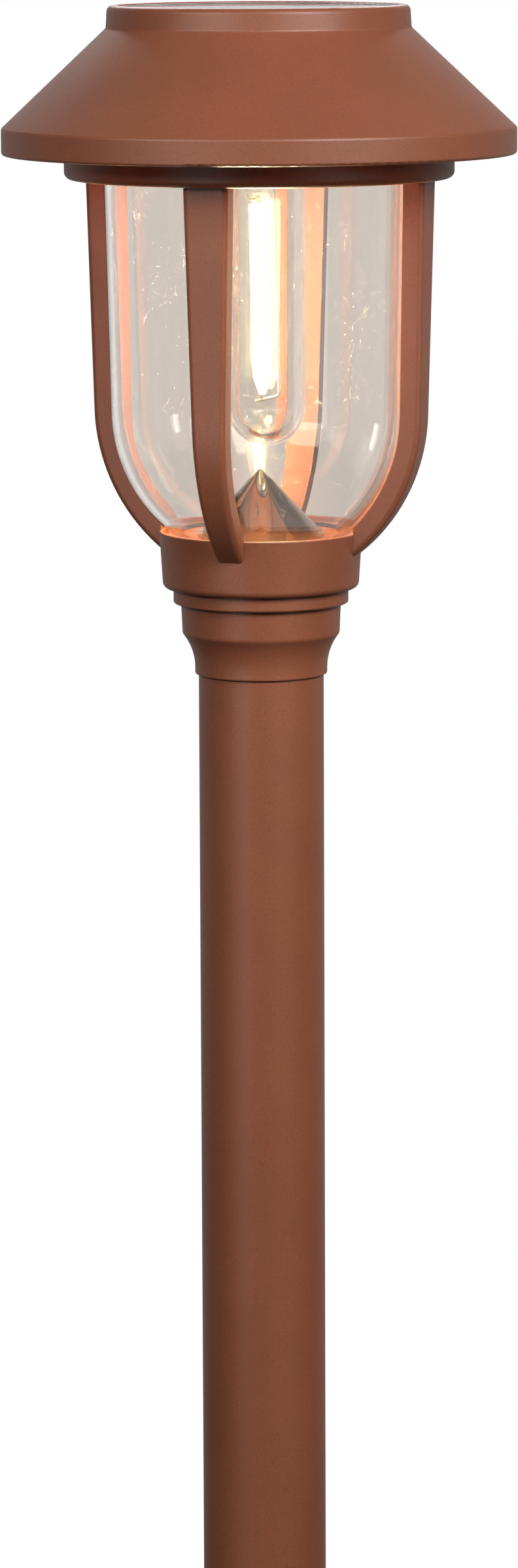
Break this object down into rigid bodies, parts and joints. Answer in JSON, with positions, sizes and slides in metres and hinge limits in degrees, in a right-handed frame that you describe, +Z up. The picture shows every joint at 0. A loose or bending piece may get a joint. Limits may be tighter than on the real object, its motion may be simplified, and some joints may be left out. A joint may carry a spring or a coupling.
{
  "type": "solar garden torch light",
  "caption": "Garden torch light on a round pole with a ground spike: hipped round solar roof over a caged clear jar, a hanging filament lamp and a cone reflector in a cup.",
  "frame": {"origin": "on the pole's axis at soil level, where the pole meets the ground spike", "axes": "+Z up along the pole; the four cage arms stand on X and Y; the battery is towards +Y and the switch towards -Y"},
  "size_m": [0.13, 0.13, 0.9215],
  "materials": {
    "terracotta_plastic": "satin, fine grain",
    "terracotta_steel": "satin powder coat, fine grain",
    "spike_plastic": "moulded, matte",
    "clear_jar": "clear moulded plastic",
    "clear_cover": "clear flat window",
    "bulb_glass": "clear thin glass",
    "reflector_chrome": "bright metallised",
    "seal_rubber": "matte",
    "screw_steel": "zinc plated",
    "panel_board": "laminate",
    "cell_blue": "silicon under lacquer",
    "socket_white": "moulded",
    "ferrule_metal": "drawn",
    "filament_phosphor": "phosphor coat, lit",
    "wire_nickel": "drawn wire",
    "cell_wrap": "shrink wrap",
    "board_green": "solder mask",
    "component_black": "moulded",
    "switch_black": "moulded",
    "lead_red": "insulation",
    "lead_black": "insulation"
  },
  "bodies": {
    "spike": {"ground_spike": "spike_plastic"},
    "lower_pole": {"lower_pole": "terracotta_steel", "pole_connector": "terracotta_plastic"},
    "upper_pole": {"upper_pole": "terracotta_steel"},
    "lantern": {"neck": "terracotta_plastic", "neck_screws": "screw_steel", "cup": "terracotta_plastic", "reflector_cone": "reflector_chrome", "cage": "terracotta_plastic"},
    "jar": {"jar": "clear_jar"},
    "gasket": {"cap_gasket": "seal_rubber"},
    "switch": {"switch_knob": "switch_black"},
    "cap": {"roof": "terracotta_plastic", "panel_cover": "clear_cover", "solar_panel": "panel_board", "solar_cells": "cell_blue", "base_plate": "terracotta_plastic", "base_plate_screws": "screw_steel", "lamp_socket": "socket_white", "bulb_ferrule": "ferrule_metal", "bulb_tube": "bulb_glass", "led_filament": "filament_phosphor", "filament_wires": "wire_nickel", "battery": "cell_wrap", "battery_contacts": "wire_nickel", "battery_hatch": "terracotta_plastic", "hatch_screw": "screw_steel", "circuit_board": "board_green", "board_parts": "component_black", "board_screws": "screw_steel", "switch_body": "switch_black", "red_leads": "lead_red", "black_leads": "lead_black"}
  },
  "joints": [
    {"name": "lower_pole_lift", "type": "slide", "parent": "spike", "child": "lower_pole", "axis": [0, 0, 1], "range_m": [0, 0.06]},
    {"name": "upper_pole_lift", "type": "slide", "parent": "lower_pole", "child": "upper_pole", "axis": [0, 0, 1], "range_m": [0, 0.06]},
    {"name": "head_lift", "type": "slide", "parent": "upper_pole", "child": "lantern", "axis": [0, 0, 1], "range_m": [0, 0.06]},
    {"name": "jar_lift", "type": "slide", "parent": "lantern", "child": "jar", "axis": [0, 0, 1], "range_m": [0, 0.11]},
    {"name": "cap_lift", "type": "slide", "parent": "jar", "child": "gasket", "axis": [0, 0, 1], "range_m": [0, 0.09]},
    {"name": "cap_turn", "type": "hinge", "parent": "gasket", "child": "cap", "pos_m": [0, 0, 0.7359], "axis": [0, 0, 1], "continuous": true},
    {"name": "switch_slide", "type": "slide", "parent": "cap", "child": "switch", "axis": [1, 0, 0], "range_m": [0, 0.003]}
  ]
}
